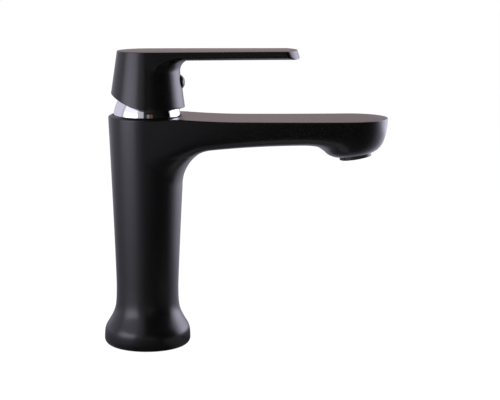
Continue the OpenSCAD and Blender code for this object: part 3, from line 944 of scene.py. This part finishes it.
@dataclass
class Handle:
    """The lever handle: a tapered cap and a flat lever in one casting."""

    top: float = 171.2
    low: float = 139.1
    back_rise: float = 7.7
    cap_r: float = 17.1
    taper: float = 0.143
    wall: float = 2.6
    reach: float = 85.6
    half: float = 15.0
    thick: float = 5.0
    side_t: float = 3.3
    belly: float = 23.0
    slope: float = 0.013
    lean: float = 1.6
    end_arc: float = 23.6
    corner: float = 1.2
    edge: float = 0.7
    fillet: float = 8.0
    rim: float = 0.35
    roof: float = 163.2
    skirt_top: float = 148.0
    lip: float = 0.35
    stem: Tuple[float, float] = (4.2, 3.6)
    boss_r: float = 7.6
    boss_low: float = 153.0
    block_low: float = 147.5
    socket: Tuple[float, float] = (146.0, 159.0)
    screw_boss_r: float = 4.1
    screw_r: float = 2.5
    plug_z: float = 153.6
    plug_r: float = 4.05

    def cap(self, z: np.ndarray) -> np.ndarray:
        """The cap's radius at a height."""
        return self.cap_r + self.taper * (self.top - z)

    def field(self, p: np.ndarray) -> np.ndarray:
        """How far points lie outside the handle with its top still level."""
        x, y, z = p[..., 0], p[..., 1], p[..., 2]
        cap = (np.hypot(x, y) - self.cap(z)) / math.hypot(1.0, self.taper)
        wide = lerp(self.cap(z), self.half, ease(x / (self.reach - 5.0)))
        centre = self.reach + self.lean - self.end_arc
        tip_r = self.end_arc - self.lean + self.lean * (self.top - z) / self.thick
        tip = np.hypot(np.clip(x - centre, 0.0, None), y) - tip_r
        across = np.abs(y) - wide
        side = smooth_max(across, tip, self.corner)
        side = np.where(x < 0.0, cap, side)
        under = self.top - self.thick - z
        c, s = math.cos(math.radians(self.belly)), math.sin(math.radians(self.belly))
        belly = (self.top - self.side_t - z) * c + across * s
        under = smooth_max(under, belly, self.edge)
        lever = smooth_max(fillet_union(cap, under, self.fillet), side, self.edge)
        return np.minimum(cap, lever)

    def outline(self, angle: float) -> float:
        """The flat top's distance from the axis in a direction."""
        if abs(angle) >= 0.5 * math.pi:
            return self.cap_r
        c, s = math.cos(angle), abs(math.sin(angle))
        side = self.half / max(s, 1e-6)
        return min(side, self.reach / c, self.cap_r / max(s, 1e-6))

    def foot(self, angle: np.ndarray) -> np.ndarray:
        """The height of the lower edge, which rises at the back."""
        back = np.clip(-np.cos(angle), 0.0, 1.0)
        return self.low + self.back_rise * back**1.6

    def shell(self) -> bpy.types.Object:
        """The handle's skin down to its lower edge, with the cap's cavity.

        Returns:
            A closed mesh.
        """
        angles = outline_angles(self.outline, 1.0)
        rim = np.full_like(angles, self.rim)
        rays = Rays(self.field, angles, self.top - rim, 0.25)
        start = np.full_like(angles, float(self.cap(np.array(self.skirt_top))))
        head = rays.rings(start, self.skirt_top, 110)
        head = np.concatenate([head, rim_rings(head[-1], rim)])
        head[..., 2] += self.slope * head[..., 0]
        foot, lip = self.foot(angles), self.lip
        roof = np.full_like(foot, self.roof)
        edge = [(0.02, roof), (self.cap(roof) - self.wall, roof)]
        edge += [(self.cap(foot + lip) - self.wall, foot + lip)]
        edge += [(self.cap(foot) - self.wall + lip, foot), (self.cap(foot) - lip, foot)]
        edge += [(self.cap(foot) - 0.3 * lip, foot + 0.3 * lip)]
        edge += [
            (self.cap(z), z)
            for z in (lerp(foot + lip, self.skirt_top, t) for t in np.linspace(0.0, 1.0, 9)[:-1])
        ]
        skirt = np.array([rays.points(np.broadcast_to(r, foot.shape), z) for r, z in edge])
        return mesh_piece("lever_handle", *rings_mesh(np.concatenate([skirt, head])))

    def build(self) -> None:
        """Makes the handle with its socket and the plug over its set screw."""
        piece = self.shell()
        x, y, over = self.stem[0], self.stem[1], self.roof + 0.5
        screw = self.screw_frame()
        inner = -(float(self.cap(np.array(self.plug_z))) - x)
        shape(
            piece,
            added=[
                rod("socket_boss", self.boss_r, self.boss_low, over),
                block("socket_block", (-x - 1.5, -y - 1.5, self.block_low), (x + 2.5, y + 1.5, over)),
                rod("screw_boss", self.screw_boss_r, inner, -1.0, place=screw),
            ],
            taken=[
                block("stem_socket", (-x, -y, self.socket[0]), (x, y, self.socket[1])),
                rod("screw_bore", self.screw_r, inner - 1.0, 4.0, place=screw),
                rod("plug_spot", self.plug_r + 0.12, -0.7, 4.0, steps=64, place=screw),
            ],
        )
        dress(piece, SATIN_BLACK, "lever", "handle")
        self.plug()

    def screw_frame(self) -> Matrix:
        """The set screw's frame: on the cap's wall, with Z outwards along the screw."""
        lean = math.atan(self.taper)
        at = Vector((float(self.cap(np.array(self.plug_z))), 0.0, self.plug_z)) * MM
        return Matrix.Translation(at) @ Matrix.Rotation(0.5 * math.pi - lean, 4, "Y")

    def plug(self) -> bpy.types.Object:
        """The domed plug over the set screw."""
        rise = 2.1
        ball = (self.plug_r**2 + rise**2) / (2 * rise)
        half = math.degrees(math.asin(self.plug_r / ball))
        dome = arc((0.0, rise - ball), ball, 90 - half, 90, 14)
        shank = [(0.01, -4.0), (self.screw_r, -4.0), (self.screw_r, -0.7)]
        edge = [(self.plug_r - 0.1, -0.7), (self.plug_r, -0.6)]
        profile = shank + edge + dome[:-1] + [(0.01, rise)]
        piece = lathe("plug_dome", profile, 64)
        piece.matrix_world = self.screw_frame()
        return dress(piece, GLOSS_PLUG, "lever", "screw_plug")


@dataclass
class DomeRing:
    """The bright dome between the body and the handle."""

    radius: float = 19.25
    wall: float = 1.5
    opening: float = 14.3
    centre: float = 133.0
    low: float = 128.4

    def build(self) -> bpy.types.Object:
        """Turns the dome and lets it stand for its CAD node."""
        outer = math.degrees(math.acos(self.opening / self.radius))
        inside = self.radius - self.wall
        inner = math.degrees(math.acos(self.opening / inside))
        lip = 0.25
        profile = [(inside, self.low), (self.radius - 0.2, self.low), (self.radius, self.low + 0.2)]
        profile += arc((0.0, self.centre), self.radius, 0, outer - 1.2, 40)
        tip = (self.opening, self.centre + inside * math.sin(math.radians(inner)) + lip)
        profile += [tip]
        profile += arc((0.0, self.centre), inside, inner, 0, 20)
        return dress(lathe("dome_ring", profile, 160), BRIGHT_CHROME, "root", "dome_cap")


@dataclass
class Aerator:
    """The aerator in the spout's end: its ring and the flow insert; its screen and washer stay CAD
    nodes.
    """

    casting: Casting
    ring_r: float = 9.25
    wall: float = 1.3
    lip: float = 1.2
    height: float = 7.0
    low: float = -23.0

    def ring(self) -> bpy.types.Object:
        """The ring with its rounded lip and the notches for its key."""
        r, b = self.ring_r, 0.35
        top = self.low + self.height
        inner = r - self.wall
        mouth = inner - self.lip
        profile = [(mouth + b, self.low)]
        profile += arc((r - b, self.low + b), b, -90, 0, 5)
        profile += [(r, top), (inner, top), (inner, self.low + self.lip)]
        profile += arc((mouth + b, self.low + self.lip - b), b, 90, 180, 4)
        profile += [(mouth, self.low + b)]
        piece = lathe("aerator_ring", profile, 128)
        turns = [Matrix.Rotation(2.0 * math.pi * (k + 0.5) / 8, 4, "Z") for k in range(8)]
        shape(piece, taken=[
            block("key_notch", (r - 0.6, -0.9, self.low - 0.7), (r + 0.6, 0.9, self.low + 0.7), turn)
            for turn in turns
        ])
        piece.matrix_world = jet_frame(self.casting)
        return dress(piece, RING_PLASTIC, "root", "aerator_housing")

    def insert(self) -> bpy.types.Object:
        """The flow straightener: crossing ribs inside a rim."""
        r = self.ring_r - self.wall
        low = self.low + self.lip
        top = self.low + self.height - 0.8
        profile = [(r - 1.0, low + 0.1), (r - 0.9, low), (r, low), (r, top), (r - 1.0, top)]
        rim = lathe("aerator_insert_rim", profile, 96)
        rim.matrix_world = jet_frame(self.casting)
        work = bmesh.new()
        pitch, thick, deep = 1.45, 0.42, 3.0
        reach, middle = r - 0.9, low + 0.3 + deep / 2
        for k in range(-4, 5):
            half = math.sqrt(max(reach**2 - (k * pitch) ** 2, 0.0))
            size, at = (thick, 2 * half, deep), (k * pitch, 0.0, middle)
            for order in ((0, 1, 2), (1, 0, 2)):
                for vert in bmesh.ops.create_cube(work, size=1.0)["verts"]:
                    place = [vert.co[i] * size[j] + at[j] for i, j in enumerate(order)]
                    vert.co = Vector(place) * MM
        mesh = bpy.data.meshes.new("aerator_grid")
        work.to_mesh(mesh)
        work.free()
        grid = bpy.data.objects.new("aerator_grid", mesh)
        bpy.context.scene.collection.objects.link(grid)
        edge = grid.modifiers.new("edge", "BEVEL")
        edge.width, edge.segments = 0.08 * MM, 2
        grid.matrix_world = jet_frame(self.casting)
        dress(grid, WHITE_PLASTIC, "root", "aerator_insert")
        return dress(rim, WHITE_PLASTIC, "root", "aerator_insert")

    def build(self) -> None:
        """Makes the ring and the insert."""
        self.ring()
        self.insert()


class CarriedNodes:
    """The CAD nodes whose shapes stay, with finer finishes."""

    def __init__(self, finishes: Dict[str, Finish]) -> None:
        """Keeps which finish each node gets."""
        self.finishes = finishes

    def build(self) -> None:
        """Gives each node its finish."""
        for name, finish in self.finishes.items():
            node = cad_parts[name]
            for slot in node.material_slots:
                slot.material = finish.material()
            LOG.info("node %s: %s", name, finish.name)


@dataclass(frozen=True)
class Screen:
    """A round screen about the column that only reflections see.

    Attributes:
        name: the screen's name.
        edges: radius and height of its two edges.
        glow: its colour and radiance by direction, in degrees to the right of the
            camera's side.
        fade: how steeply it darkens towards the column.
    """

    name: str
    edges: Tuple[Tuple[float, float], Tuple[float, float]]
    glow: Glow
    fade: float = 0.0

    def build(self) -> None:
        """Makes the screen and its light."""
        angles = np.linspace(0.0, 2.0 * math.pi, 96, endpoint=False)
        rings = plain_rings(angles, self.edges)
        verts, faces = rings_mesh(rings, (False, False))
        piece = mesh_piece(self.name, verts, faces)
        peak = max(strength for _, _, strength in self.glow)
        made, graph = new_material(self.name)
        parts = graph.raw("ShaderNodeSeparateXYZ", {}, {0: graph.place()})
        side, ahead = Socket(graph, parts.outputs[0]), Socket(graph, parts.outputs[1])
        turn = side.maths("ARCTAN2", side, ahead * -1.0) / (2.0 * math.pi) + 0.5
        reach = (side * side + ahead * ahead) ** 0.5 / (self.edges[1][0] * MM)
        stops = [
            (angle / 360.0 + 0.5, tuple(part * strength / peak for part in tint))
            for angle, tint, strength in self.glow
        ]
        glow = graph.node("ShaderNodeValToRGB", {"stops": stops}, {0: turn})
        light = graph.raw(
            "ShaderNodeEmission", {}, {"Color": glow, "Strength": reach**self.fade * peak}
        )
        graph.close(light)
        piece.data.materials.append(made)
        piece.visible_camera = False
        piece.visible_diffuse = False
        piece.visible_shadow = False
        piece.visible_transmission = False


COOL: Colour = (0.95, 0.925, 1.12)
PLAIN: Colour = (0.98, 0.98, 1.04)
WARM: Colour = (1.13, 0.93, 0.96)
AMBER: Colour = (1.6, 0.9, 0.6)
OLIVE: Colour = (1.0, 1.0, 0.8)


def tinted(tint: Colour, *stops: Tuple[float, float]) -> Glow:
    """Stops of one tint, from directions and strengths."""
    return tuple((angle, tint, strength) for angle, strength in stops)


def wall_glow(front: Glow, share: float, edge: float, grey: float) -> Glow:
    """The wall's light by direction.

    Args:
        front: the stops on the camera's side, between the two soft boxes.
        share: the strength of the soft boxes.
        edge: where the left soft box ends.
        grey: the radiance of the plain wall beside it.

    Returns:
        The stops all round.
    """
    dim = 1.2
    left = ((-82, 1.3), (-74, 2.4), (-65, 3.4), (-50, 3.7), (edge - 3, 2.9))
    right = ((92, 1.5), (100, 2.7), (112, 4.8), (128, 3.8))
    return (
        tinted(WARM, (-180, 0.5), (-168, 0.5))
        + tinted(PLAIN, (-158, 0.5))
        + tinted(COOL, (-150, 0.72), (-96, 0.76))
        + tinted(PLAIN, (-88, 0.45))
        + tinted(COOL, *((angle, dim + (power - dim) * share) for angle, power in left))
        + tinted(PLAIN, (edge, grey), (-9, 0.85 * grey))
        + front
        + tinted(PLAIN, (86, 0.0), (88, 0.5), (90, 0.55))
        + tinted(COOL, *((angle, dim + (power - dim) * (0.5 + share / 2)) for angle, power in right))
        + tinted(COOL, (146, 1.7), (155, 0.9))
        + tinted(WARM, (163, 0.44), (172, 0.5), (180, 0.5))
    )


WALL_R, CEILING_Z, FLOOR_Z = 620.0, 900.0, 0.4
FLOOR_EDGES = (21.6, 115.0, 205.0, WALL_R)
WALL_EDGES = (0.0, 80.0, 120.0, 300.0, CEILING_Z)


def wall_screen(name: str, band: int, glow: Glow) -> Screen:
    """A screen on one band of the wall, counted from the floor."""
    return Screen(name, ((WALL_R, WALL_EDGES[band]), (WALL_R, WALL_EDGES[band + 1])), glow)


def floor_screen(name: str, ring: int, glow: Glow, fade: float = 0.0) -> Screen:
    """A screen on one ring of the floor, counted from the column."""
    return Screen(name, ((FLOOR_EDGES[ring], FLOOR_Z), (FLOOR_EDGES[ring + 1], FLOOR_Z)), glow, fade)


SCREENS = (
    wall_screen(
        "skirting_screen", 0,
        wall_glow(tinted(PLAIN, (-6, 0.26), (3, 0.4), (20, 0.42), (30, 0.05)), 0.6, -31, 0.42),
    ),
    wall_screen(
        "low_wall_screen", 1,
        wall_glow(tinted(PLAIN, (-6, 0.16), (6, 0.08), (12, 0.03), (22, 0.0)), 1.1, -31, 0.42),
    ),
    wall_screen(
        "wall_screen", 2,
        wall_glow(
            tinted(PLAIN, (-7, 0.03), (2, 0.04), (6, 0.25), (10.5, 0.22))
            + tinted(AMBER, (13, 0.02), (18, 0.1))
            + tinted(OLIVE, (25, 0.01)),
            1.0, -28, 0.6,
        ),
    ),
    wall_screen(
        "high_wall_screen", 3, wall_glow(tinted(PLAIN, (-7.5, 0.02), (8, 0.01)), 0.0, -28, 0.6)
    ),
    floor_screen(
        "mid_floor_screen", 1,
        tinted(WARM, (-180, 0.3))
        + tinted(
            COOL, (-150, 0.38), (-110, 0.34), (-90, 0.5), (-72, 0.75), (-56, 0.88), (-40, 0.74),
            (-24, 0.4), (-8, 0.17),
        )
        + tinted(PLAIN, (8, 0.07), (40, 0.05), (80, 0.1))
        + tinted(COOL, (100, 0.5), (120, 0.72), (140, 0.72), (160, 0.58))
        + tinted(WARM, (180, 0.3)),
    ),
    floor_screen(
        "floor_screen", 2,
        tinted(WARM, (-180, 0.3))
        + tinted(
            COOL, (-150, 0.65), (-110, 0.52), (-90, 0.76), (-72, 1.24), (-56, 1.46), (-40, 1.2),
            (-24, 0.66), (-8, 0.25),
        )
        + tinted(PLAIN, (8, 0.09), (18, 0.05), (28, 0.04), (62, 0.05), (80, 0.12))
        + tinted(COOL, (98, 0.9), (118, 1.8), (140, 1.4), (160, 0.8))
        + tinted(WARM, (180, 0.3)),
        0.4,
    ),
    floor_screen(
        "near_floor_screen", 0,
        tinted(WARM, (-180, 0.4))
        + tinted(COOL, (-140, 0.45), (-100, 0.5), (-60, 0.7), (-30, 0.42))
        + tinted(PLAIN, (-5, 0.17), (35, 0.1), (50, 0.5), (76, 0.5), (88, 0.14))
        + tinted(COOL, (104, 0.24), (150, 0.28))
        + tinted(WARM, (180, 0.4)),
        0.75,
    ),
    Screen(
        "ceiling_screen", ((1.0, CEILING_Z), (WALL_R, CEILING_Z)),
        tinted(WARM, (-180, 0.4))
        + tinted(COOL, (-120, 0.4), (-60, 0.2), (0, 0.0), (60, 0.1), (120, 0.4))
        + tinted(WARM, (180, 0.4)),
    ),
)


@dataclass
class Studio:
    """The floor, the lamps, the screens and the camera."""

    eye: Tuple[float, float, float] = (59.41, -844.87, 233.42)
    pitch: float = 0.1735
    roll: float = 0.0092
    lens: float = 106.69
    ambient: float = 0.45

    def camera(self) -> None:
        """Places the camera."""
        data = bpy.data.cameras.new("camera")
        data.lens = self.lens
        data.sensor_width = 36.0
        data.clip_start, data.clip_end = 0.01, 50.0
        piece = bpy.data.objects.new("camera", data)
        turn = Matrix.Rotation(0.5 * math.pi - self.pitch, 4, "X")
        turn = turn @ Matrix.Rotation(self.roll, 4, "Z")
        piece.matrix_world = Matrix.Translation(Vector(self.eye) * MM) @ turn
        bpy.context.scene.collection.objects.link(piece)
        bpy.context.scene.camera = piece

    @staticmethod
    def seen(graph: Graph) -> Socket:
        """1 for rays that show the backdrop: those of the camera, of mirrors and of glass."""
        path = graph.raw("ShaderNodeLightPath", {}, {})
        kinds = [
            Socket(graph, path.outputs[name])
            for name in ("Is Camera Ray", "Is Glossy Ray", "Is Transmission Ray")
        ]
        return (kinds[0] + kinds[1] + kinds[2]).clipped()

    def backdrop(self) -> None:
        """A pale world that looks white behind the object and in its reflections."""
        world = bpy.data.worlds.new("studio")
        bpy.context.scene.world = world
        world.use_nodes = True
        graph = Graph(world.node_tree)
        strength = self.seen(graph) * (1.0 - self.ambient) + self.ambient
        light = graph.raw(
            "ShaderNodeBackground", {}, {"Color": (1.0, 1.0, 1.0, 1.0), "Strength": strength}
        )
        graph.close(light, "World")

    def floor(self) -> None:
        """A pale floor that keeps the object's shadow."""
        half = 3000.0
        corners = [(-half, -half, 0.0), (half, -half, 0.0), (half, half, 0.0), (-half, half, 0.0)]
        piece = mesh_piece("floor", corners, [[0, 1, 2, 3]])
        made, graph = new_material("pale_floor")
        matte = graph.raw("ShaderNodeBsdfDiffuse", {}, {"Color": (0.9, 0.9, 0.9, 1.0)})
        glow = {"Color": (1.0, 1.0, 1.0, 1.0), "Strength": 1.04}
        white = graph.raw("ShaderNodeEmission", {}, glow)
        mixed = graph.raw("ShaderNodeMixShader", {}, {0: self.seen(graph) * 0.95})
        made.node_tree.links.new(matte.outputs[0], mixed.inputs[1])
        made.node_tree.links.new(white.outputs[0], mixed.inputs[2])
        graph.close(mixed)
        piece.data.materials.append(made)

    def lamp(
        self, name: str, at: Tuple[float, float, float], size: Tuple[float, float], power: float
    ) -> None:
        """A soft rectangular lamp that looks at the object."""
        data = bpy.data.lights.new(name, "AREA")
        data.shape = "RECTANGLE"
        data.size, data.size_y = size[0] * MM, size[1] * MM
        data.energy = power
        piece = bpy.data.objects.new(name, data)
        towards = Vector((30.0, 0.0, 90.0)) - Vector(at)
        turn = towards.to_track_quat("-Z", "Y").to_matrix().to_4x4()
        piece.matrix_world = Matrix.Translation(Vector(at) * MM) @ turn
        piece.visible_glossy = False
        bpy.context.scene.collection.objects.link(piece)

    def build(self) -> None:
        """Sets up the studio."""
        bpy.context.scene.view_settings.view_transform = "Standard"
        self.camera()
        self.backdrop()
        self.floor()
        for screen in SCREENS:
            screen.build()
        self.lamp("left_box", (-700.0, -350.0, 500.0), (300.0, 700.0), 6.0)
        self.lamp("right_box", (900.0, -100.0, 400.0), (300.0, 700.0), 6.0)
        self.lamp("top_box", (0.0, 0.0, 1000.0), (800.0, 500.0), 8.0)


def main() -> None:
    """Builds the mixer piece by piece and then its studio."""
    logging.basicConfig(level=logging.INFO, format="%(name)s: %(message)s")
    Studio().build()
    casting = Casting()
    casting.build()
    Handle().build()
    DomeRing().build()
    Aerator(casting).build()
    CarriedNodes(NODE_FINISHES).build()


if __name__ == "__main__":
    main()
    bpy.context.view_layer.update()
